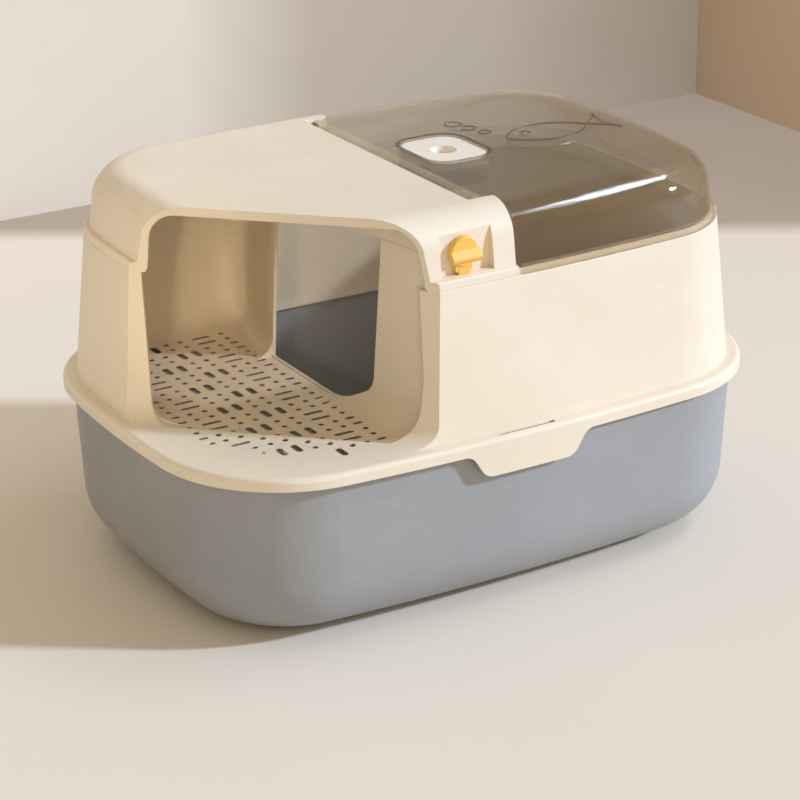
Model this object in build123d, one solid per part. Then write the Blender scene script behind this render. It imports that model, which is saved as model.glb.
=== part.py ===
from build123d import *
from math import atan2, cos, hypot, radians, sin, sqrt
import os

# Covered litter box for a cat: a deep tray, a hood with a corner entrance and a perforated deck,
# a top cover, a clear lid hinged on the cover, two side latches and a deodoriser case in the lid.
# Millimetres. X runs along the box from the entrance end to the lid end, Y across it, Z up.
# The origin is the centre of the footprint on the floor.

# Plan outline of the widest part, the flange of the hood
half_length = 270.0
half_width = 193.0
side_radius = 2065.0
end_radius = 1165.0
corner_radius = 113.0

# Walls and gaps
wall = 2.8
tray_wall = 2.6
lid_wall = 2.6
fit_gap = 0.4
seat_gap = 0.3

# Heights, each counted from the one before it
foot_height = 4.0
flange_top = 153.5
skirt_depth = 10.5
inner_skirt_depth = 12.5
hood_rise = 120.0
collar_rise = 4.1
shoulder_gap = 0.6
cover_rise = 55.0
lid_drop = 2.0

skirt_low = flange_top - skirt_depth
inner_skirt_low = flange_top - inner_skirt_depth
parting_height = flange_top + hood_rise
collar_height = parting_height + collar_rise
shoulder_height = collar_height + shoulder_gap + wall
cover_top = parting_height + cover_rise
lid_top = cover_top - lid_drop

# Tray
tray_inset_high = 7.8
tray_inset_low = 14.8
tray_bottom_radius = 52.0
tray_rim_reach = 3.6
tray_rim_depth = 2.4

# Hood
hood_inset_low = 11.0
hood_inset_high = 23.7
flange_edge_radius = 4.2
parting_edge = 0.7
collar_wall = 2.2
collar_foot = 8.0

# Cover and lid body above the shoulder
body_inset_low = 27.7
body_lean = 0.14
body_top_radius = 28.0
shoulder_radius = 2.2
lip_lean = 0.6
collar_inset = hood_inset_high + wall + lip_lean + fit_gap

# Corner entrance, cut by a plane across the corner that leaves the near wall left of the latch
entrance_angle = 44.0
entrance_meet_x = -67.1
entrance_lean = 0.125
turn_sin = sin(radians(entrance_angle))
turn_cos = cos(radians(entrance_angle))
entrance_offset = (half_width - hood_inset_high) * turn_cos - entrance_meet_x * turn_sin

# Where that plane meets the end wall and the near wall at the parting, measured along it
end_meet = (entrance_offset * turn_sin - (half_length - hood_inset_high)) / turn_cos
side_meet = ((half_width - hood_inset_high) - entrance_offset * turn_cos) / turn_sin

# Mouth of the cover
mouth_left_low = end_meet + 14.8
mouth_left_high = end_meet + 19.0
mouth_right_low = side_meet - 13.3
mouth_right_high = side_meet - 15.8
mouth_high = cover_top - 7.3
mouth_radius = 22.0
mouth_foot_radius = 6.0

# Frame of the entrance on the hood
portal_left_high = end_meet + 9.8
portal_left_low = end_meet + 19.0
portal_left_radius = 18.0
portal_right_high = side_meet - 6.6
portal_right_low = side_meet - 17.0
portal_right_radius = 30.0
jamb_foot_radius = 18.0
jamb_foot_sink = 0.05

# Partition between the entrance and the litter chamber
partition_x = -95.0
partition_lean = 0.032
partition_top = cover_top - 27.5
partition_bend_back = half_width - 135.0
partition_bend_front = -(half_width - 129.0)
partition_back_x = partition_x + 35.0
partition_front_x = partition_x + 20.0
partition_foot_radius = 18.0
vestibule_foot_radius = 30.0
door_back = half_width - 136.8
door_front = -(half_width - 94.3)
door_draft = 0.044
door_slope_run = 41.0
door_slope_rise = 21.5
door_corner_radius = 18.0
door_sill_radius = 80.0
door_reach = 20.0
partition_bend_radius = 70.0

# Deck holes
hole_pitch_x = 13.0
hole_pitch_y = 12.28
hole_width = 5.0
slot_width = 6.0
bar_width = 4.2
deck_grid_x = -204.7
deck_grid_y = -2.6
hole_margin = 41.0
hole_partition_gap = 7.0
hole_back_limit = 132.0

# Clip tongues on the long sides of the skirt
tongue_drop = 20.5
tongue_half_low = 41.0
tongue_half_high = 54.0
tongue_corner = 12.0
slit_half = 26.0
slit_width = 1.6
notch_length = 4.5

# Hinge of the lid
hinge_x = -8.0
hinge_z = cover_top - 8.0
hinge_barrel_radius = 6.0
hinge_pin_radius = 3.5
hinge_running_gap = 0.05
trough_x = -19.8
trough_low = hinge_z - 8.5
ear_inner = half_width - 62.0
ear_end_x = 3.0
ear_cheek = 3.0
ear_boss_radius = 6.2
ear_boss_end = ear_inner + 7.0
lid_side_x = 6.2
barrel_end = ear_inner - 1.6
pin_end = ear_boss_end - 0.6

# Latches
latch_x = -42.7
latch_radius = 12.0
latch_depth = 5.6
latch_edge = 1.2
latch_travel = 6.0
latch_neck_half = 7.4
pocket_left = -63.5
pocket_right = -16.5
pocket_inset = 36.0
pocket_low = shoulder_height + 0.6
pocket_high = cover_top - 12.5
pocket_floor_y = half_width - pocket_inset
latch_z = pocket_low + 18.0
latch_neck_low = pocket_low + 2.4
grip_rise = 1.5
grip_drop = 4.6
grip_reach = 4.4
grip_thick = 2.4
grip_half = 13.0
grip_shift = 0.8
grip_round = 1.5
stem_half = 4.0
clip_half = 8.5
clip_depth = 2.0
clip_gap = 0.2
bolt_half = 5.0
bolt_gap = 1.2
bolt_catch = 3.0
bolt_outer_y = half_width - collar_inset - collar_wall - bolt_gap
bolt_inner_y = bolt_outer_y - wall

# Deodoriser case and its cap
deo_x = 40.0
cap_half_x = 28.0
cap_half_y = 35.0
cap_corner = 18.0
cap_sink = 0.7
cap_plate = 2.4
cap_edge = 1.0
dish_radius = 11.0
dish_depth = 6.0
case_wall = 1.8
case_depth = 24.5
case_rim = 2.2
case_rim_height = 1.0
vent_width = 1.6
vent_height = 6.0
vent_pitch = 5.0
ledge_height = 1.8
ledge_reach = 2.0
cap_top = lid_top - cap_sink
cap_low = cap_top - cap_plate
case_low = lid_top - case_depth

# Raised outline on the lid
ridge_width = 1.9
ridge_height = 1.1
fish_nose_x = 98.0
fish_y = -6.0
fish_length = 80.0
fish_half = 22.0
fish_tail = 22.0
bubble_small = 5.0
bubble_step = 17.0

# Feet
foot_radius = 12.0
foot_x = half_length - 102.0
foot_y = half_width - 101.0
foot_edge = 0.8

side_centre = Vector(0, half_width - side_radius, 0)
end_centre = Vector(half_length - end_radius, 0, 0)


def corner_centre():
    """Centre of the corner arc that touches a side arc and an end arc from inside."""
    from_side = side_radius - corner_radius
    from_end = end_radius - corner_radius
    between = end_centre - side_centre
    span = between.length
    along = (from_side ** 2 - from_end ** 2 + span ** 2) / (2 * span)
    across = sqrt(from_side ** 2 - along ** 2)
    unit = between / span
    left = Vector(-unit.Y, unit.X, 0)
    foot = side_centre + unit * along
    choices = [foot + left * across, foot - left * across]
    return max(choices, key=lambda point: point.X + point.Y)


corner = corner_centre()


def outline(inset, height):
    """Closed plan face of the box, moved inward by inset, at a height."""
    radius = corner_radius - inset
    toward_side = (corner - side_centre).normalized()
    toward_end = (corner - end_centre).normalized()
    side_touch = corner + toward_side * radius
    end_touch = corner + toward_end * radius
    corner_mid = corner + (toward_side + toward_end).normalized() * radius
    wide = half_width - inset
    long = half_length - inset
    quarter = [
        (end_touch.X, -end_touch.Y), (long, 0), (end_touch.X, end_touch.Y),
        (corner_mid.X, corner_mid.Y), (side_touch.X, side_touch.Y),
    ]
    half = quarter + [(0, wide), (-side_touch.X, side_touch.Y), (-corner_mid.X, corner_mid.Y)]
    points = half + [(-x, -y) for x, y in half]
    points = [Vector(x, y, height) for x, y in points]
    points.append(points[0])
    arcs = []
    for index in range(0, len(points) - 2, 2):
        arcs.append(ThreePointArc(points[index], points[index + 1], points[index + 2]))
    return Face(Wire(arcs))


def drafted(inset_low, low, inset_high, high):
    """Solid with leaning walls between two plan outlines."""
    ends = [outline(inset_low, low).outer_wire(), outline(inset_high, high).outer_wire()]
    return Solid.make_loft(ends, True)


def straight(inset, low, high):
    """Solid with upright walls on one plan outline."""
    return Solid.extrude(outline(inset, low), Vector(0, 0, high - low))


def ring(inset_out, inset_in, low, high):
    """Upright band between two plan outlines."""
    return straight(inset_out, low, high) - straight(inset_in, low, high)


def block(x_low, x_high, y_low, y_high, z_low, z_high):
    """Plain box between two corners."""
    size = (x_high - x_low, y_high - y_low, z_high - z_low)
    centre = ((x_low + x_high) / 2, (y_low + y_high) / 2, (z_low + z_high) / 2)
    return Pos(*centre) * Box(*size)


def one(shape):
    """The single solid of a result, or a compound of its solids."""
    solids = shape.solids()
    return solids[0] if len(solids) == 1 else Compound(children=list(solids))


def mirrored(shape):
    """Copy of a shape on the other long side."""
    return mirror(shape, about=Plane.XZ)


def both_sides(shape):
    """A shape and its copy on the other long side."""
    return [shape, mirrored(shape)]


def rounded_pad(half_x, half_y, radius, low, high):
    """Upright block with rounded corners, centred on the deodoriser."""
    plan = Pos(deo_x, 0, low) * RectangleRounded(2 * half_x, 2 * half_y, radius)
    return extrude(plan, high - low)


def along_y(radius, y_low, y_high, x, z):
    """Cylinder along the width of the box."""
    middle = (y_low + y_high) / 2
    return Pos(x, middle, z) * Rot(90, 0, 0) * Cylinder(radius, y_high - y_low)


def entrance_plane(lean):
    """Plane across the corner, seen from outside: x along the opening, y up."""
    tilt = atan2(lean, 1)
    origin = (-entrance_offset * turn_sin, -entrance_offset * turn_cos, parting_height)
    along = (turn_cos, -turn_sin, 0)
    outward = (-turn_sin * cos(tilt), -turn_cos * cos(tilt), sin(tilt))
    return Plane(origin=origin, x_dir=along, z_dir=outward)


def slab(plane, low, high, depth):
    """Wide slab on a plane, reaching inward for a positive depth, outward for a negative one."""
    sheet = Pos(0, (low + high) / 2) * Rectangle(4 * half_length, high - low)
    return extrude(plane * sheet, -depth)


def rounded_face(points, radii):
    """Face from a polygon whose corners are rounded one by one."""
    face = make_face(Polyline(*points, close=True))
    for point, radius in zip(points, radii):
        if radius:
            nearest = min(face.vertices(), key=lambda v: hypot(v.X - point[0], v.Y - point[1]))
            face = fillet(nearest, radius)
    return face


def prism_on(plane, points, radii, depth):
    """Prism through a plane from a polygon whose corners are rounded one by one."""
    return extrude(plane * rounded_face(points, radii), depth, both=True)


def tray():
    """Deep open tray with a wide round foot and a small rim."""
    rim_height = flange_top - wall
    outer = drafted(tray_inset_low, foot_height, tray_inset_high, rim_height)
    outer = outer.fillet(tray_bottom_radius, outer.edges().group_by(Axis.Z)[0])
    floor = foot_height + tray_wall
    inner = drafted(tray_inset_low + tray_wall, floor, tray_inset_high + tray_wall, rim_height)
    inner = inner.fillet(tray_bottom_radius - tray_wall, inner.edges().group_by(Axis.Z)[0])
    rim = ring(tray_rim_reach, tray_inset_high + tray_wall / 2, rim_height - tray_rim_depth, rim_height)
    return one((outer - inner) + rim)


def feet():
    """Four round pads under the tray."""
    pads = []
    for x in (-foot_x, foot_x):
        for y in (-foot_y, foot_y):
            pad = Pos(x, y, foot_height / 2) * Cylinder(foot_radius, foot_height)
            pads.append(fillet(pad.edges().group_by(Axis.Z)[0], foot_edge))
    return pads


def partition_line(shift):
    """Plan line of the partition at deck height, moved along X."""
    reach = half_width
    back_run = reach - partition_bend_back - hood_inset_low
    front_run = reach + partition_bend_front - hood_inset_high
    slope_back = (partition_back_x - partition_x) / back_run
    slope_front = (partition_front_x - partition_x) / front_run
    start = (partition_x + slope_back * (reach - partition_bend_back) + shift, reach)
    end = (partition_x + slope_front * (reach + partition_bend_front) + shift, -reach)
    bends = [(partition_x + shift, partition_bend_back), (partition_x + shift, partition_bend_front)]
    return FilletPolyline(start, *bends, end, radius=partition_bend_radius)


def partition_prism(shift, low, high, reach_x):
    """Prism between the leaning partition face and a line further along X."""
    front = partition_line(shift + partition_lean * (low - flange_top))
    if reach_x is None:
        other = Pos(wall, 0) * front
    else:
        other = Line((reach_x, front.position_at(0).Y), (reach_x, front.position_at(1).Y))
    ends = [Line(front @ 0, other @ 0), Line(front @ 1, other @ 1)]
    face = make_face([front, other] + ends)
    rise = high - low
    return Solid.extrude((Pos(0, 0, low) * face).face(), Vector(partition_lean * rise, 0, rise))


def rounded_foot(solid, wall_radius, partition_radius):
    """Vestibule block with a wide rounding along the walls and a smaller one at the partition."""
    near_partition = corner_radius / 4
    low = solid.edges().group_by(Axis.Z)[0]
    foot = [edge for edge in low if abs(edge.center().X - partition_x) < near_partition]
    foot = [edge for edge in foot if abs(edge.center().Y) < half_width - wall_radius]
    walls = [edge for edge in low if edge not in foot]
    solid = solid.fillet(wall_radius, walls)
    low = solid.edges().group_by(Axis.Z)[0]
    foot = [edge for edge in low if abs(edge.center().X - partition_x) < near_partition]
    foot = [edge for edge in foot if abs(edge.center().Y) < half_width - 2 * wall_radius]
    return solid.fillet(partition_radius, foot)


def in_hole_field(x, y):
    """True where a deck hole keeps its margin to the flange edge and to the partition."""
    if x > partition_x - hole_partition_gap or y > hole_back_limit:
        return False
    inner_radius = corner_radius - hole_margin
    dx = -corner.X - x
    dy = -corner.Y - y
    if dx > 0 and dy > 0:
        return hypot(dx, dy) < inner_radius
    return x > -half_length + hole_margin and y > -half_width + hole_margin


def deck_tool(x, y, plan):
    """Plan shape at a place, run right through the deck."""
    return extrude(Pos(x, y, flange_top - 2 * wall) * plan, 3 * wall)


def deck_cell(kind, left, right, centre_y):
    """Cutters of one cell of two columns and two rows: slots, cross bars or four round holes."""
    tools = []
    if kind == "slots":
        slot = SlotOverall(hole_pitch_y + slot_width / 2, slot_width, rotation=90)
        for x in (left, right):
            if in_hole_field(x, centre_y):
                tools.append(deck_tool(x, centre_y, slot))
        return tools
    for y in (centre_y - hole_pitch_y / 2, centre_y + hole_pitch_y / 2):
        columns = [x for x in (left, right) if in_hole_field(x, y)]
        if kind == "bars" and columns:
            length = hole_pitch_x + bar_width if len(columns) == 2 else 2 * bar_width
            tools.append(deck_tool(sum(columns) / len(columns), y, SlotOverall(length, bar_width)))
        elif kind == "holes":
            for x in columns:
                tools.append(deck_tool(x, y, Circle(hole_width / 2)))
    return tools


def deck_holes():
    """Checkered field of round holes, long slots and cross bars cut through the deck."""
    first_pair = -1
    kinds = ["bars", "bars", "slots", "slots", "bars", "bars"]
    half_rows = 6
    tools = []
    for pair, closed_kind in enumerate(kinds, first_pair):
        centre_x = deck_grid_x + 2 * hole_pitch_x * pair
        left = centre_x - hole_pitch_x / 2
        right = centre_x + hole_pitch_x / 2
        for row in range(-half_rows, half_rows):
            kind = closed_kind if (row + pair) % 2 == 0 else "holes"
            tools += deck_cell(kind, left, right, deck_grid_y + 2 * hole_pitch_y * row)
    return tools


def tongue():
    """Clip tongue on the near side of the skirt."""
    top = skirt_low + wall
    low = skirt_low - tongue_drop
    outside = tongue_half_high + 2 * tongue_corner
    points = [
        (-outside, top), (-outside, skirt_low), (-tongue_half_high, skirt_low), (-tongue_half_low, low),
        (tongue_half_low, low), (tongue_half_high, skirt_low), (outside, skirt_low), (outside, top),
    ]
    radii = [0, 0, tongue_corner, tongue_corner, tongue_corner, tongue_corner, 0, 0]
    front = Plane(origin=(0, -half_width, 0), x_dir=(1, 0, 0), z_dir=(0, -1, 0))
    shape = prism_on(front, points, radii, 2 * wall)
    return ring(0, wall, low - wall, top) & shape


def jamb_foot():
    """Hollow rounding along the foot of the entrance frame, from the deck up to the leaning face."""
    slant = sqrt(1 + entrance_lean ** 2)
    low_offset = entrance_offset + entrance_lean * (parting_height - flange_top)
    high = jamb_foot_radius - jamb_foot_sink
    out = high * (slant - entrance_lean)
    reach = (jamb_foot_radius + wall / 2) / slant
    corners = [
        (-wall / 2, -wall / 2), (out, -wall / 2), (out, high), (out - reach, high - reach * entrance_lean),
    ]
    face = make_face(Polyline(*corners, close=True)) - Pos(out, high) * Circle(jamb_foot_radius)
    across = Plane(origin=(-low_offset * turn_sin, -low_offset * turn_cos, flange_top),
                   x_dir=(-turn_sin, -turn_cos, 0), z_dir=(-turn_cos, turn_sin, 0))
    return extrude(across * face, 2 * corner_radius, both=True)


def hood_walls(plate_low):
    """Leaning walls with the chamber, the vestibule and the space under its rounded foot cut out."""
    outer = drafted(hood_inset_low, plate_low, hood_inset_high, parting_height)
    outer = outer.fillet(parting_edge, outer.edges().group_by(Axis.Z)[-1])
    inner = drafted(hood_inset_low + wall, plate_low, hood_inset_high + wall, parting_height)
    chamber = inner & partition_prism(wall, plate_low, parting_height, half_length)
    far_left = -half_length - wall
    vestibule = drafted(hood_inset_low + wall, flange_top, hood_inset_high + wall, parting_height)
    vestibule = vestibule & partition_prism(0, flange_top, parting_height, far_left)
    vestibule = rounded_foot(vestibule, vestibule_foot_radius, partition_foot_radius)
    under = drafted(hood_inset_low, plate_low, hood_inset_high, parting_height)
    under = under & partition_prism(wall, plate_low, parting_height, far_left)
    under = rounded_foot(under, vestibule_foot_radius + wall, partition_foot_radius / 2 + wall)
    relief_top = plate_low + vestibule_foot_radius
    relief = drafted(hood_inset_low + wall, plate_low, hood_inset_low + 2 * wall, relief_top)
    relief = relief & partition_prism(0, plate_low, relief_top, far_left)
    return outer, chamber, vestibule, relief - under


def collar_band(frame_room):
    """Low band inside the top of the hood that centres the cover."""
    inside = collar_inset + collar_wall
    low = parting_height - collar_foot
    band = ring(collar_inset, inside, low, collar_height)
    root = ring(hood_inset_high + wall / 3, inside, low, parting_height - parting_edge - fit_gap)
    return (band + root) - frame_room


def partition_sheet(frame_room):
    """Upper part of the partition, standing clear of the cover and its latch pockets."""
    inside = collar_inset + collar_wall
    low = parting_height - collar_foot
    sheet = partition_prism(0, low, partition_top, None)
    low_room = straight(inside - collar_wall / 2, low, collar_height)
    inset_low = body_inset_low + wall + fit_gap + body_lean * collar_rise
    inset_high = inset_low + body_lean * (partition_top - collar_height)
    high_room = drafted(inset_low, collar_height - wall, inset_high, partition_top)
    pocket_room = block(pocket_left - wall - fit_gap, 0, pocket_floor_y - wall - fit_gap, half_width,
                        pocket_low - wall - fit_gap, cover_top)
    for room in both_sides(pocket_room):
        high_room = high_room - room
    return (sheet & (low_room + high_room)) - frame_room


def hood():
    """Hood with its flange, skirt, deck, partition, collar and framed corner entrance."""
    plate_low = flange_top - wall
    plate = straight(0, skirt_low, flange_top)
    plate = plate.fillet(flange_edge_radius, plate.edges().group_by(Axis.Z)[-1])
    plate = plate - straight(wall, skirt_low, plate_low)
    outer, chamber, vestibule, relief = hood_walls(plate_low)
    plane = entrance_plane(entrance_lean)
    plate_level = -(parting_height - flange_top) * sqrt(1 + entrance_lean ** 2)
    relief = relief - slab(plane.offset(-2 * wall), plate_level - corner_radius, 0, -corner_radius)
    body = (plate + outer) - chamber - vestibule - relief
    inner_skirt = ring(hood_inset_low + fit_gap, hood_inset_low + wall, inner_skirt_low, plate_low + wall / 2)
    body = body + inner_skirt
    frame_room = slab(entrance_plane(0).offset(-wall - fit_gap), 0, cover_rise, -corner_radius)
    body = body + collar_band(frame_room)
    body = body + partition_sheet(frame_room)
    above = block(-half_length, 0, -half_width, half_width, flange_top, cover_top)
    below = plate_level - corner_radius / 2
    body = body - (slab(plane, below, cover_top - parting_height, -corner_radius) & above)
    frame = slab(plane, plate_level - wall, 0, wall) & outer
    high = -plate_level
    points = [
        (portal_left_high, high), (portal_left_high, 0), (portal_left_low, plate_level),
        (portal_right_low, plate_level), (portal_right_high, 0), (portal_right_high, high),
    ]
    opening = prism_on(plane, points, [0, 0, portal_left_radius, portal_right_radius, 0, 0],
                       2 * jamb_foot_radius)
    body = body + (frame - (opening & above)) + ((jamb_foot() & outer) - opening)
    door_plane = Plane(origin=(partition_x, 0, 0), x_dir=(0, 1, 0), z_dir=(1, 0, 0))
    door_spread = door_draft * (cover_top - flange_top)
    door_points = [
        (door_front, flange_top + door_slope_rise), (door_front + door_slope_run, flange_top),
        (door_back, flange_top), (door_back - door_spread, cover_top),
        (door_front - door_spread, cover_top),
    ]
    door_radii = [door_corner_radius, door_sill_radius, 0, 0, 0]
    body = body - prism_on(door_plane, door_points, door_radii, door_reach)
    for clip in both_sides(tongue()):
        body = body + clip
    slit_y = -half_width + flange_edge_radius + wall
    slit = block(-slit_half, slit_half, slit_y - slit_width, slit_y, plate_low - wall, flange_top + wall)
    notch = block(slit_half - notch_length, slit_half, slit_y - slit_width, slit_y + slit_width,
                  plate_low - wall, flange_top + wall)
    for cut in both_sides(slit + notch):
        body = body - cut
    return one(body - deck_holes())


def body_block(top, inset_extra, depth_extra, radius):
    """Rounded body of the cover or lid, its faces moved inward for the hollow."""
    rise = top - depth_extra - parting_height
    low = body_inset_low + inset_extra
    body = drafted(low, parting_height, low + body_lean * rise, top - depth_extra)
    return body.fillet(radius, body.edges().group_by(Axis.Z)[-1])


def lip_block(inset_extra, top, top_radius, low_radius):
    """Lip that continues the hood wall up to the shoulder."""
    low = hood_inset_high + inset_extra
    lip = drafted(low, parting_height, low + lip_lean, top)
    if top_radius:
        lip = lip.fillet(top_radius, lip.edges().group_by(Axis.Z)[-1])
    if low_radius:
        lip = lip.fillet(low_radius, lip.edges().group_by(Axis.Z)[0])
    return lip


def shell(top, thickness):
    """Outer and inner shape of the cover or lid."""
    outer = body_block(top, 0, 0, body_top_radius)
    outer = outer + lip_block(0, shoulder_height, shoulder_radius, parting_edge)
    inner = body_block(top, thickness, thickness, body_top_radius - thickness)
    inner = inner + lip_block(thickness, shoulder_height - thickness, 0, 0)
    return outer, inner


def pocket(outer):
    """Near latch pocket: what clears the wall, the thin tray that replaces it and its slots."""
    clear = block(pocket_left, pocket_right, -half_width, -pocket_floor_y, pocket_low, pocket_high)
    grown = block(pocket_left - wall, pocket_right + wall, -half_width, -pocket_floor_y + wall,
                  pocket_low - wall, pocket_high + wall)
    slot_half = stem_half + fit_gap
    stem_slot = block(latch_x - slot_half, latch_x + slot_half, -pocket_floor_y - wall,
                      -pocket_floor_y + 2 * wall, latch_z - slot_half, latch_z + slot_half + latch_travel)
    bolt_slot = block(latch_x - bolt_half - fit_gap, latch_x + bolt_half + fit_gap,
                      -bolt_outer_y - fit_gap, -bolt_inner_y + fit_gap,
                      pocket_low - 2 * wall, pocket_low + wall)
    return clear, (grown & outer) - clear, stem_slot + bolt_slot


def lid_ear(outer):
    """Near ear of the cover that closes the hinge trough and carries the hinge pin."""
    outer_y = ear_inner + ear_cheek
    cheek = block(trough_x - wall, ear_end_x, ear_inner, outer_y, trough_low - wall, cover_top)
    end = block(ear_end_x - wall, ear_end_x, ear_inner, half_width, shoulder_height - wall, cover_top)
    boss = along_y(ear_boss_radius, ear_inner + ear_cheek / 2, ear_boss_end, hinge_x, hinge_z)
    return (cheek + end + boss) & outer


def cover():
    """Top cover with the mouth frame, the latch pockets and the trough for the lid's hinge."""
    outer, inner = shell(cover_top, wall)
    body = outer - inner
    clear, pocket_tray, slots = pocket(outer)
    for cut, tray_part, slot in zip(both_sides(clear), both_sides(pocket_tray), both_sides(slots)):
        body = (body - cut) + tray_part
        body = body - slot
    body = body - block(ear_end_x, half_length, -half_width, half_width, 0, 2 * cover_top)
    trough = block(trough_x, half_length, -ear_inner, ear_inner, parting_height - wall, 2 * cover_top)
    body = body - trough
    side = ear_inner + wall / 2
    drop = block(trough_x - wall, trough_x, -side, side, trough_low - wall, cover_top - wall / 2)
    floor = block(trough_x - wall, ear_end_x, -side, side, trough_low - wall, trough_low)
    body = body + drop + floor
    ear = lid_ear(outer)
    bore = along_y(hinge_pin_radius + hinge_running_gap, ear_inner - wall, ear_boss_end + wall,
                   hinge_x, hinge_z)
    for ear_part, hole in zip(both_sides(ear), both_sides(bore)):
        body = (body + ear_part) - hole
    plane = entrance_plane(0)
    beyond = slab(plane, -parting_height, cover_top, -corner_radius)
    body = body - beyond
    sheet = partition_prism(0, partition_top + seat_gap, cover_top, None)
    room = body_block(cover_top, wall / 2, wall / 2, body_top_radius)
    body = body + ((sheet - beyond) & room)
    frame = slab(plane, 0, cover_rise, wall) & outer
    high = mouth_high - parting_height
    foot = 2 * mouth_foot_radius
    points = [
        (mouth_left_low - foot, -wall), (mouth_left_low, 0), (mouth_left_high, high),
        (mouth_right_high, high), (mouth_right_low, 0), (mouth_right_low + foot, -wall),
    ]
    radii = [0, mouth_foot_radius, mouth_radius, mouth_radius, mouth_foot_radius, 0]
    mouth = prism_on(plane, points, radii, 2 * wall)
    return one(body + (frame - mouth))


def lid():
    """Clear lid with its hinge barrel and pins, the hole for the case and the raised outline."""
    outer, inner = shell(lid_top, lid_wall)
    body = outer - inner
    side_cut = block(-half_length, lid_side_x, -half_width, half_width, parting_height - wall, cover_top)
    tab = block(hinge_x, lid_side_x, -barrel_end, barrel_end, hinge_z, cover_top)
    body = body - (side_cut - tab)
    barrel = along_y(hinge_barrel_radius, -barrel_end, barrel_end, hinge_x, hinge_z)
    hollow_end = barrel_end - 2 * lid_wall
    hollow = along_y(hinge_pin_radius, -hollow_end, hollow_end, hinge_x, hinge_z)
    pin = along_y(hinge_pin_radius, -pin_end, pin_end, hinge_x, hinge_z)
    body = body + (barrel + pin - hollow)
    room = fit_gap + case_wall + seat_gap
    hole = rounded_pad(cap_half_x + room, cap_half_y + room, cap_corner + room,
                       lid_top - body_top_radius, cover_top)
    body = body - hole
    art = extrude(Pos(0, 0, lid_top - lid_wall / 2) * fish_sketch(), lid_wall / 2 + ridge_height)
    return one(body + art)


def fish_sketch():
    """Plain fish outline with bubbles, drawn as narrow ridges."""
    nose = Vector(fish_nose_x, fish_y)
    tail = Vector(fish_nose_x + fish_length, fish_y)
    middle_x = (nose.X + tail.X) / 2
    back = ThreePointArc(nose, (middle_x, fish_y + fish_half), tail)
    belly = ThreePointArc(nose, (middle_x, fish_y - fish_half), tail)
    tip_x = tail.X + fish_tail
    bend_x = tail.X + fish_tail / 2
    bulge = 0.4 * fish_tail
    upper = ThreePointArc(tail, (bend_x, fish_y + bulge), (tip_x, fish_y + fish_tail))
    lower = ThreePointArc(tail, (bend_x, fish_y - bulge), (tip_x, fish_y - fish_tail))
    end = ThreePointArc(upper @ 1, (tip_x - fish_tail / 4, fish_y), lower @ 1)
    sketch = Sketch()
    for line in (back, belly, upper, lower, end):
        sketch = sketch + trace(line, ridge_width)
    rings = [(nose.X + fish_half, fish_y + fish_half / 4, bubble_small)]
    for step in (1, 2, 3):
        bubble_y = fish_y + bubble_step * (step + 0.5)
        rings.append((nose.X - bubble_small * step, bubble_y, bubble_small + step))
    for x, y, radius in rings:
        sketch = sketch + Pos(x, y) * (Circle(radius) - Circle(radius - ridge_width))
    return sketch


def latch():
    """Latch slider on the near side: button, neck, finger grip, stem and bolt."""
    face_y = -pocket_floor_y - seat_gap
    front_y = face_y - latch_depth
    button = along_y(latch_radius, front_y, face_y, latch_x, latch_z)
    button = fillet(button.edges().group_by(Axis.Y)[0], latch_edge)
    neck = block(latch_x - latch_neck_half, latch_x + latch_neck_half, front_y + latch_edge, face_y,
                 latch_neck_low, latch_z)
    tip_y = front_y - grip_reach
    grip_points = [
        (front_y + latch_edge, latch_z + grip_rise), (front_y, latch_z + grip_rise),
        (tip_y, latch_z - grip_drop), (tip_y + grip_round, latch_z - grip_drop - grip_thick),
        (front_y, latch_z - 2 * grip_drop), (front_y + latch_edge, latch_z - 2 * grip_drop),
    ]
    side = Plane(origin=(latch_x + grip_shift, 0, 0), x_dir=(0, 1, 0), z_dir=(1, 0, 0))
    grip = prism_on(side, grip_points, [0, 0, grip_round, grip_round / 2, 0, 0], grip_half)
    stem_end = -pocket_floor_y + wall + seat_gap + clip_depth + fit_gap
    stem = block(latch_x - stem_half, latch_x + stem_half, face_y - wall, stem_end,
                 latch_z - stem_half, latch_z + stem_half)
    bolt = block(latch_x - bolt_half, latch_x + bolt_half, -bolt_outer_y, -bolt_inner_y,
                 collar_height - bolt_catch, latch_neck_low + wall)
    return one(button + neck + grip + stem + bolt)


def latch_clip():
    """Clip inside the cover that holds the slider by its stem."""
    low_y = -pocket_floor_y + wall + seat_gap
    plate = block(latch_x - clip_half, latch_x + clip_half, low_y, low_y + clip_depth,
                  latch_z - clip_half, latch_z + clip_half)
    grip = stem_half + clip_gap
    hole = block(latch_x - grip, latch_x + grip, low_y - wall, low_y + clip_depth + wall,
                 latch_z - grip, latch_z + grip)
    return one(plate - hole)


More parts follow.
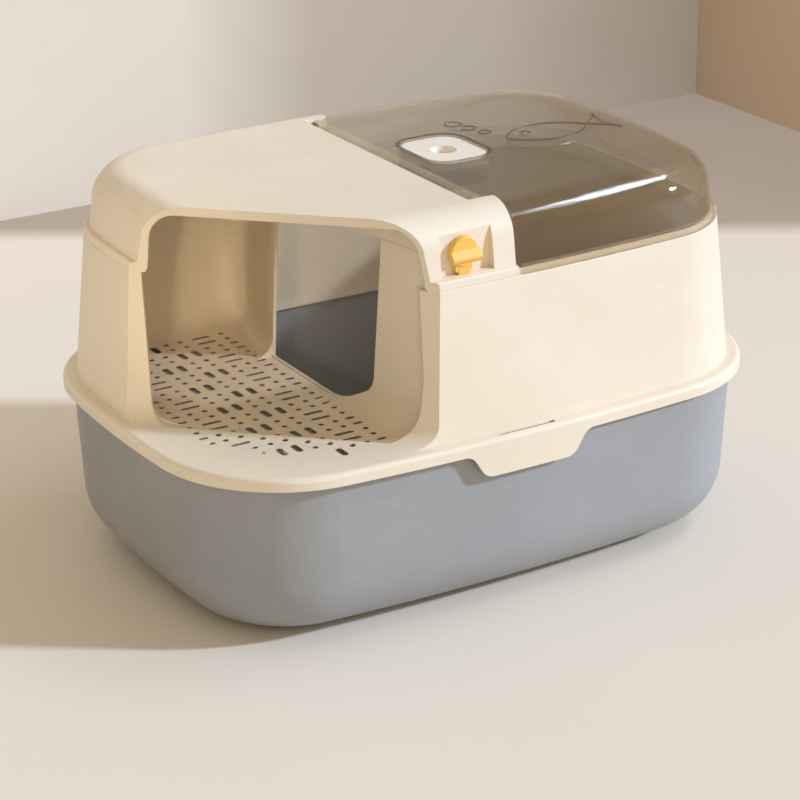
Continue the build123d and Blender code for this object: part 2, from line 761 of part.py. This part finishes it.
def deodoriser_case():
    """Clear open case that hangs in the lid by its rim, with air slits and a ledge for the cap."""
    half_x = cap_half_x + fit_gap
    half_y = cap_half_y + fit_gap
    radius = cap_corner + fit_gap
    top = lid_top + case_rim_height
    body = rounded_pad(half_x + case_wall, half_y + case_wall, radius + case_wall, case_low, lid_top)
    reach = case_wall + case_rim
    rim = rounded_pad(half_x + reach, half_y + reach, radius + reach, lid_top, top)
    inside = rounded_pad(half_x, half_y, radius, case_low + case_wall, top)
    ledge_low = cap_low - ledge_height
    ledge = rounded_pad(half_x + case_wall / 2, half_y + case_wall / 2, radius, ledge_low, cap_low)
    ledge = ledge - rounded_pad(half_x - ledge_reach, half_y - ledge_reach, radius - ledge_reach,
                                ledge_low, cap_low)
    body = (body + rim) - inside + ledge
    vent_low = case_low + 2 * case_wall
    for step in (-1, 0, 1):
        x = deo_x + step * vent_pitch
        body = body - block(x - vent_width / 2, x + vent_width / 2, -half_width, half_width,
                            vent_low, vent_low + vent_height)
    return one(body)


def deodoriser_cap():
    """Flat white cap with a round finger dish."""
    body = rounded_pad(cap_half_x, cap_half_y, cap_corner, cap_low, cap_top)
    body = fillet(body.edges().group_by(Axis.Z)[-1], cap_edge)
    dish_low = cap_top - dish_depth
    dish = Pos(deo_x, 0, (dish_low - case_wall + cap_low + cap_edge) / 2) * Cylinder(
        dish_radius + case_wall, cap_low + cap_edge - dish_low + case_wall)
    hole = Pos(deo_x, 0, dish_low + dish_depth) * Cylinder(dish_radius, 2 * dish_depth)
    return one(body + dish - hole)


def all_parts():
    """Every sub-part by its node name."""
    near_latch = latch()
    near_clip = latch_clip()
    parts = {
        "litter_tray": tray(),
        "hood_shell": hood(),
        "top_cover": cover(),
        "clear_lid": lid(),
        "latch_slider_near": near_latch,
        "latch_slider_far": one(mirrored(near_latch)),
        "latch_clip_near": near_clip,
        "latch_clip_far": one(mirrored(near_clip)),
        "deodoriser_case": deodoriser_case(),
        "deodoriser_cap": deodoriser_cap(),
    }
    for pad, place in zip(feet(), ("left_near", "left_far", "right_near", "right_far")):
        parts["foot_pad_" + place] = pad
    return parts


def main():
    os.makedirs("parts", exist_ok=True)
    for name, shape in all_parts().items():
        export_step(shape, os.path.join("parts", name + ".step"))


if __name__ == "__main__":
    main()
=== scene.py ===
import math

import bpy
from mathutils import Matrix, Vector

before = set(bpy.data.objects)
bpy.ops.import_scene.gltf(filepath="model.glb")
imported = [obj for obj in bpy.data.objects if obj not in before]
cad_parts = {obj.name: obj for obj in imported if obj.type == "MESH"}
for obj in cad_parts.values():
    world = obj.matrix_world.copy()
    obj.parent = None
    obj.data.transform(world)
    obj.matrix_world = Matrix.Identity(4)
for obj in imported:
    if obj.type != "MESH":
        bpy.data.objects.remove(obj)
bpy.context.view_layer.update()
scene = bpy.context.scene
scene.view_settings.view_transform = "Standard"


# Camera at the photograph's place: turn in degrees, place in metres, focal length and centre in pixels
CAMERA_TURN = (-31.01, 22.37, -0.54)
CAMERA_PLACE = (-1.03428, -1.72201, 0.93795)
FOCAL_PX = 2568.3
CENTRE_PX = (405.03, 400.88)
IMAGE_PX = 800
SENSOR_MM = 36


def set_camera():
    azimuth, elevation, roll = (math.radians(angle) for angle in CAMERA_TURN)
    back = Vector((math.sin(azimuth) * math.cos(elevation), -math.cos(azimuth) * math.cos(elevation),
                   math.sin(elevation)))
    side = Vector((0, 0, 1)).cross(back).normalized()
    rise = back.cross(side)
    right = side * math.cos(roll) + rise * math.sin(roll)
    up = rise * math.cos(roll) - side * math.sin(roll)
    camera = bpy.data.objects.new("camera", bpy.data.cameras.new("camera"))
    scene.collection.objects.link(camera)
    turn = Matrix((right, up, back)).transposed().to_4x4()
    camera.matrix_world = Matrix.Translation(CAMERA_PLACE) @ turn
    camera.data.sensor_width = SENSOR_MM
    camera.data.lens = FOCAL_PX / IMAGE_PX * SENSOR_MM
    camera.data.shift_x = 0.5 - CENTRE_PX[0] / IMAGE_PX
    camera.data.shift_y = CENTRE_PX[1] / IMAGE_PX - 0.5
    camera.data.clip_end = 30
    scene.camera = camera


# Materials
def srgb(red, green, blue):
    """Linear colour from the eight bit values that a colour picker shows."""
    linear = [((level / 255 + 0.055) / 1.055) ** 2.4 for level in (red, green, blue)]
    return (*linear, 1.0)


class Finish:
    """A material whose nodes read the piece's own object coordinates."""

    def __init__(self, name):
        self.material = bpy.data.materials.new(name)
        self.material.use_nodes = True
        self.tree = self.material.node_tree
        self.shader = self.tree.nodes["Principled BSDF"]
        self.output = self.tree.nodes["Material Output"]
        self.place = self.tree.nodes.new("ShaderNodeTexCoord").outputs["Object"]

    def add(self, kind, **settings):
        node = self.tree.nodes.new(kind)
        for key, value in settings.items():
            if key.startswith("in_"):
                node.inputs[key[3:].replace("_", " ")].default_value = value
            else:
                setattr(node, key, value)
        return node

    def link(self, start, end):
        self.tree.links.new(start, end)

    def noise(self, scale, detail=2.0, rough=0.5, stretch=None):
        node = self.add("ShaderNodeTexNoise", in_Scale=scale, in_Detail=detail, in_Roughness=rough)
        source = self.place
        if stretch:
            mapping = self.add("ShaderNodeMapping", in_Scale=stretch)
            self.link(source, mapping.inputs["Vector"])
            source = mapping.outputs["Vector"]
        self.link(source, node.inputs["Vector"])
        return node.outputs["Fac"]

    def ramp(self, value, low, high, dark, light):
        """Map a value from low..high to dark..light."""
        node = self.add("ShaderNodeMapRange")
        self.link(value, node.inputs["Value"])
        for key, number in zip(("From Min", "From Max", "To Min", "To Max"), (low, high, dark, light)):
            node.inputs[key].default_value = number
        return node.outputs["Result"]

    def blend(self, share, first, second):
        node = self.add("ShaderNodeMix", data_type="RGBA")
        self.link(share, node.inputs["Factor"])
        for socket, colour in ((node.inputs["A"], first), (node.inputs["B"], second)):
            if isinstance(colour, tuple):
                socket.default_value = colour
            else:
                self.link(colour, socket)
        return node.outputs["Result"]

    def bump(self, height, strength, distance, under=None):
        node = self.add("ShaderNodeBump", in_Strength=strength, in_Distance=distance)
        self.link(height, node.inputs["Height"])
        if under:
            self.link(under, node.inputs["Normal"])
        return node.outputs["Normal"]

    def along(self, *direction):
        """Distance of a point along a direction of the shared frame."""
        node = self.add("ShaderNodeVectorMath", operation="DOT_PRODUCT")
        self.link(self.place, node.inputs[0])
        node.inputs[1].default_value = direction
        return node.outputs["Value"]

    def window(self, value, low, high, soft=0.0001):
        """One where a value lies between low and high, zero outside."""
        rise = self.ramp(value, low - soft, low, 0.0, 1.0)
        fall = self.ramp(value, high, high + soft, 1.0, 0.0)
        return self.product(rise, fall)

    def region(self, windows):
        """One inside all the windows, each given as direction, low and high."""
        inside = None
        for direction, low, high in windows:
            step = self.window(self.along(*direction), low, high)
            inside = self.product(inside, step) if inside else step
        return inside

    def either(self, regions):
        """One inside any of the regions."""
        share = self.region(regions[0])
        for windows in regions[1:]:
            share = self.product(share, self.region(windows), "MAXIMUM")
        return share

    def product(self, first, second, operation="MULTIPLY"):
        node = self.add("ShaderNodeMath", operation=operation)
        self.link(first, node.inputs[0])
        self.link(second, node.inputs[1])
        return node.outputs[0]

    def sums(self, first, second, share):
        """first plus share times second."""
        node = self.add("ShaderNodeMath", operation="MULTIPLY_ADD")
        self.link(second, node.inputs[0])
        node.inputs[1].default_value = share
        self.link(first, node.inputs[2])
        return node.outputs[0]


# Directions of the shared frame; a window is a direction with its low and high limit in metres
LENGTHWISE = (1, 0, 0)
ACROSS = (0, 1, 0)
UPWARD = (0, 0, 1)
OUT_OF_ENTRANCE = (-0.707, -0.707, 0)

# Where the deck has its holes and the flange its two slits, which are painted dark as the shade inside
# them
BELOW_DECK = (UPWARD, 0.1500, 0.1531)
DECK_HOLES = (
    BELOW_DECK, (LENGTHWISE, -0.236, -0.096), (ACROSS, -0.154, 0.139), (OUT_OF_ENTRANCE, -0.2, 0.215),
)
SLIT_LENGTH = (LENGTHWISE, -0.0265, 0.0265)
NEAR_SLIT = (BELOW_DECK, SLIT_LENGTH, (ACROSS, -0.1880, -0.1842))
FAR_SLIT = (BELOW_DECK, SLIT_LENGTH, (ACROSS, 0.1842, 0.1880))
# Dark brown painted into the deck holes and slits as the shade inside them
HOLE_SHADE = (0.105, 0.075, 0.045, 1)
POLYPROPYLENE_IOR = 1.49


def moulded_plastic(name, colour, deep, worn, roughness=0.5, grain=0.10, shaded_hollows=()):
    """Matte injection moulded plastic: cloudy colour, spark eroded grain and rubbed streaks.

    The last argument holds the regions that are painted dark, in patches, as the shade that falls inside
    hollows.
    """
    finish = Finish(name)
    clouds = finish.ramp(finish.noise(7.0, 4.0, 0.6), 0.35, 0.65, 0.0, 1.0)
    body = finish.blend(clouds, deep, colour)
    rubs = finish.ramp(finish.noise(46.0, 5.0, 0.62, (1.0, 1.0, 3.2)), 0.62, 0.74, 0.0, 0.5)
    body = finish.blend(rubs, body, worn)
    speck = finish.ramp(finish.noise(900.0, 1.0), 0.25, 0.75, 0.0, 0.05)
    body = finish.blend(speck, body, deep)
    # Painted shade inside the hollows, patchy by noise
    if shaded_hollows:
        patchiness = finish.ramp(finish.noise(300.0, 2.0), 0.3, 0.7, 0.75, 0.95)
        body = finish.blend(finish.product(patchiness, finish.either(shaded_hollows)), body, HOLE_SHADE)
    finish.link(body, finish.shader.inputs["Base Color"])
    rough = finish.ramp(finish.noise(60.0, 3.0), 0.3, 0.7, roughness - 0.05, roughness + 0.06)
    rough = finish.sums(rough, rubs, -0.10)
    finish.link(rough, finish.shader.inputs["Roughness"])
    fine = finish.noise(1500.0, 2.0)
    waves = finish.noise(38.0, 2.0)
    normal = finish.bump(waves, 0.10, 0.0006)
    normal = finish.bump(fine, grain, 0.00012, normal)
    finish.link(normal, finish.shader.inputs["Normal"])
    finish.shader.inputs["IOR"].default_value = POLYPROPYLENE_IOR
    return finish.material


# Heights at which the fish on the lid, and the rim and foot of the deodoriser case, are painted dark and
# made rougher: a painted dark outline in place of the shade that refraction gives clear ridges and rims
OUTLINE_DARK = (0.20, 0.18, 0.15, 1)
STYRENE_IOR = 1.50
LID_RIDGES = (((UPWARD, 0.3266, 0.3300),),)
CASE_EDGES = (((UPWARD, 0.3010, 0.3027),), ((UPWARD, 0.3272, 0.3285),))


def clear_plastic(name, tint, shade, cast, straight, outlined, roughness=0.015):
    """Clear styrene, faintly smoky, with handling smears; cast is what light and shadow keep of it.

    straight is the share of a square view that goes through unbent, as it does through a thin wall; the
    last argument holds the regions that are painted dark and made rougher, a painted dark outline in place
    of the refraction shade of clear ridges and rims.
    """
    finish = Finish(name)
    smears = finish.ramp(finish.noise(24.0, 5.0, 0.6, (1.0, 1.0, 2.0)), 0.55, 0.80, 0.0, 1.0)
    # Painted dark outline on the ridges and rims, standing in for refraction shade
    outline = finish.either(outlined)
    body_tint = finish.blend(outline, finish.blend(smears, tint, shade), OUTLINE_DARK)
    finish.link(body_tint, finish.shader.inputs["Base Color"])
    grain = finish.ramp(finish.noise(220.0, 2.0), 0.3, 0.7, roughness, roughness + 0.01)
    rough = finish.sums(finish.sums(grain, smears, 0.03), outline, 0.3)
    finish.link(rough, finish.shader.inputs["Roughness"])
    finish.link(finish.bump(finish.noise(18.0, 2.0), 0.06, 0.0010), finish.shader.inputs["Normal"])
    finish.shader.inputs["Transmission Weight"].default_value = 1.0
    finish.shader.inputs["IOR"].default_value = STYRENE_IOR
    path = finish.add("ShaderNodeLightPath")
    thin = finish.add("ShaderNodeBsdfTransparent", in_Color=tint)
    slant = finish.add("ShaderNodeLayerWeight", in_Blend=0.4)
    body = finish.add("ShaderNodeMixShader")
    through = finish.ramp(slant.outputs["Facing"], 0.35, 0.95, straight, 0.35)
    finish.link(finish.sums(through, outline, -0.45), body.inputs[0])
    finish.link(finish.shader.outputs["BSDF"], body.inputs[1])
    finish.link(thin.outputs["BSDF"], body.inputs[2])
    lamp = finish.add("ShaderNodeBsdfTransparent", in_Color=cast)
    mix = finish.add("ShaderNodeMixShader")
    finish.link(path.outputs["Is Shadow Ray"], mix.inputs[0])
    finish.link(body.outputs["Shader"], mix.inputs[1])
    finish.link(lamp.outputs["BSDF"], mix.inputs[2])
    finish.link(mix.outputs["Shader"], finish.output.inputs["Surface"])
    return finish.material


def foot_rubber(name):
    finish = Finish(name)
    # Patches of dust on the black rubber
    patchiness = finish.ramp(finish.noise(160.0, 4.0), 0.45, 0.75, 0.0, 0.6)
    black = finish.blend(patchiness, srgb(38, 38, 38), srgb(84, 80, 74))
    finish.link(black, finish.shader.inputs["Base Color"])
    finish.link(finish.ramp(patchiness, 0.0, 0.6, 0.62, 0.88), finish.shader.inputs["Roughness"])
    finish.link(finish.bump(finish.noise(700.0, 3.0), 0.25, 0.0002), finish.shader.inputs["Normal"])
    return finish.material


def painted_surface(name, bearing, tones):
    """Stage paint whose tones follow one another along a level bearing, given as (metres, colour); on the
    floor and the back wall the darker tones are painted shadow.

    It shows on the side that faces the box, so a view from behind a wall sees through it.
    """
    finish = Finish(name)
    turn = finish.add("ShaderNodeMapping", in_Rotation=(0.0, 0.0, -math.radians(bearing)))
    finish.link(finish.place, turn.inputs["Vector"])
    split = finish.add("ShaderNodeSeparateXYZ")
    finish.link(turn.outputs["Vector"], split.inputs[0])
    tone = tones[0][1]
    for (start, _), (end, colour) in zip(tones, tones[1:]):
        tone = finish.blend(finish.ramp(split.outputs["X"], start, end, 0.0, 1.0), tone, colour)
    mottle = finish.ramp(finish.noise(3.0, 4.0), 0.3, 0.7, 0.0, 0.06)
    finish.link(finish.blend(mottle, tone, srgb(255, 250, 240)), finish.shader.inputs["Base Color"])
    rough = finish.ramp(finish.noise(5.0, 3.0), 0.3, 0.7, 0.80, 0.90)
    finish.link(rough, finish.shader.inputs["Roughness"])
    finish.link(finish.bump(finish.noise(240.0, 3.0), 0.04, 0.0003), finish.shader.inputs["Normal"])
    side = finish.add("ShaderNodeNewGeometry")
    clear = finish.add("ShaderNodeBsdfTransparent")
    mix = finish.add("ShaderNodeMixShader")
    finish.link(side.outputs["Backfacing"], mix.inputs[0])
    finish.link(finish.shader.outputs["BSDF"], mix.inputs[1])
    finish.link(clear.outputs["BSDF"], mix.inputs[2])
    finish.link(mix.outputs["Shader"], finish.output.inputs["Surface"])
    return finish.material


def dress(node, material):
    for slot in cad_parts[node].material_slots:
        slot.material = material


def dress_cad_nodes():
    creams = (srgb(240, 227, 206), srgb(234, 220, 198), srgb(245, 234, 217))
    cream = moulded_plastic("cream_plastic", *creams)
    # The hood's deck holes and slits get painted shade
    deck_cream = moulded_plastic("hood_cream_plastic", *creams, shaded_hollows=(DECK_HOLES, NEAR_SLIT, FAR_SLIT))
    grey = moulded_plastic(
        "blue_grey_plastic", srgb(162, 163, 165), srgb(154, 155, 157), srgb(172, 173, 174), roughness=0.46)
    yellow = moulded_plastic(
        "yellow_plastic", srgb(249, 197, 96), srgb(243, 186, 84), srgb(252, 209, 120), roughness=0.42)
    white = moulded_plastic(
        "white_plastic", srgb(249, 242, 230), srgb(243, 235, 221), srgb(252, 247, 238), roughness=0.36,
        grain=0.05)
    smoky = clear_plastic(
        "smoky_clear_plastic", (0.95, 0.935, 0.905, 1), (0.92, 0.90, 0.87, 1), cast=(0.74, 0.69, 0.62, 1),
        straight=0.84, outlined=LID_RIDGES)
    clear = clear_plastic(
        "case_clear_plastic", (0.97, 0.96, 0.945, 1), (0.94, 0.93, 0.91, 1), cast=(0.88, 0.86, 0.82, 1),
        straight=0.86, outlined=CASE_EDGES)
    rubber = foot_rubber("foot_rubber")
    dress("litter_tray", grey)
    dress("hood_shell", deck_cream)
    for node in ("top_cover", "latch_clip_near", "latch_clip_far"):
        dress(node, cream)
    for node in ("latch_slider_near", "latch_slider_far"):
        dress(node, yellow)
    dress("deodoriser_cap", white)
    dress("clear_lid", smoky)
    dress("deodoriser_case", clear)
    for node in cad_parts:
        if node.startswith("foot_pad"):
            dress(node, rubber)


# Stage: reach of the floor, place of the back wall, its corner with the side wall, the side wall's end
FLOOR_REACH = 4
WALL_PLACE = 0.953
ROOM_CORNER = 1.035
SIDE_WALL_END = 0.2
WALL_TOP = 2
# Bearing along which the floor is darkened towards the room's corner by painted shadow of the side wall,
# in degrees from +X
FLOOR_BEARING = 59


def stage_sheet(name, corners, material):
    mesh = bpy.data.meshes.new(name)
    mesh.from_pydata(corners, [], [(0, 1, 2, 3)])
    sheet = bpy.data.objects.new(name, mesh)
    scene.collection.objects.link(sheet)
    mesh.materials.append(material)


def set_stage():
    lit = srgb(239, 227, 210)
    # The floor's last tone is painted shadow of the side wall, towards the room's corner
    floor = painted_surface("stage_floor_painted_shadow", FLOOR_BEARING, [
        (-1.0, srgb(237, 228, 215)), (0.70, lit), (0.755, lit), (0.805, srgb(179, 162, 142))])
    pale = srgb(231, 219, 204)
    # The back wall goes from lit to painted shade towards the room's corner
    wall = painted_surface("stage_wall_painted_shade", 0, [
        (0.0, pale), (0.27, pale), (0.45, srgb(190, 177, 159)), (0.70, srgb(185, 172, 154)),
        (1.05, srgb(156, 139, 116))])
    side = painted_surface("stage_side_wall_paint", 90, [
        (SIDE_WALL_END, srgb(228, 205, 181)), (WALL_PLACE, srgb(222, 200, 176))])
    corner, corner_top = (ROOM_CORNER, WALL_PLACE, 0), (ROOM_CORNER, WALL_PLACE, WALL_TOP)
    stage_sheet("stage_floor", [
        (-FLOOR_REACH, -FLOOR_REACH, 0), (FLOOR_REACH, -FLOOR_REACH, 0), (FLOOR_REACH, FLOOR_REACH, 0),
        (-FLOOR_REACH, FLOOR_REACH, 0)], floor)
    stage_sheet("stage_wall", [
        (-FLOOR_REACH, WALL_PLACE, 0), corner, corner_top, (-FLOOR_REACH, WALL_PLACE, WALL_TOP)], wall)
    stage_sheet("stage_side_wall", [
        corner, (ROOM_CORNER, SIDE_WALL_END, 0), (ROOM_CORNER, SIDE_WALL_END, WALL_TOP), corner_top], side)
    # The walls cast no shadow; the darker floor corner and back wall are painted shadow instead
    for name in ("stage_wall", "stage_side_wall"):
        bpy.data.objects[name].visible_shadow = False


# Light: the sun's bearing from +X, its height and its width in degrees, and the room's even glow
SUN_BEARING = -36
SUN_HEIGHT = 26.5
SUN_WIDTH = 4
SUN_STRENGTH = 3.2
GLOW_COLOUR = (1.0, 0.87, 0.63, 1)
GLOW_STRENGTH = 0.42
BOX_MIDDLE = (0, 0, 0.15)


def aim(lamp, away):
    """Turn a lamp so that its back points away from what it lights."""
    lamp.rotation_euler = away.to_track_quat("Z", "Y").to_euler()


def soft_box(name, place, size, watts, colour, spread=180, target=BOX_MIDDLE):
    """Rectangular lamp that looks at a target, the middle of the box unless another is given."""
    lamp = bpy.data.lights.new(name, "AREA")
    lamp.shape = "RECTANGLE"
    lamp.size, lamp.size_y = size
    lamp.energy = watts
    lamp.color = colour
    lamp.spread = math.radians(spread)
    holder = bpy.data.objects.new(name, lamp)
    scene.collection.objects.link(holder)
    holder.location = place
    aim(holder, Vector(place) - Vector(target))


def set_light():
    world = bpy.data.worlds.new("studio")
    scene.world = world
    world.use_nodes = True
    background = world.node_tree.nodes["Background"]
    background.inputs["Color"].default_value = GLOW_COLOUR
    background.inputs["Strength"].default_value = GLOW_STRENGTH
    sun = bpy.data.lights.new("key", "SUN")
    sun.energy = SUN_STRENGTH
    sun.angle = math.radians(SUN_WIDTH)
    sun.color = (0.64, 0.77, 1.0)
    key = bpy.data.objects.new("key", sun)
    scene.collection.objects.link(key)
    bearing, height = math.radians(SUN_BEARING), math.radians(SUN_HEIGHT)
    aim(key, Vector((math.cos(bearing) * math.cos(height), math.sin(bearing) * math.cos(height),
                     math.sin(height))))
    soft_box("overhead_box", (1.75, -0.55, 2.50), (1.4, 0.35), watts=15.0, colour=(0.70, 0.83, 1.0))
    soft_box("front_box", (-0.75, -2.50, 1.40), (1.6, 1.2), watts=9.0, colour=(1.0, 0.86, 0.68))
    soft_box("entrance_box", (-1.20, -1.50, 0.85), (0.12, 0.12), watts=0.035, colour=(1.0, 0.84, 0.60),
             spread=9, target=(-0.18, 0.05, 0.225))


set_camera()
dress_cad_nodes()
set_stage()
set_light()
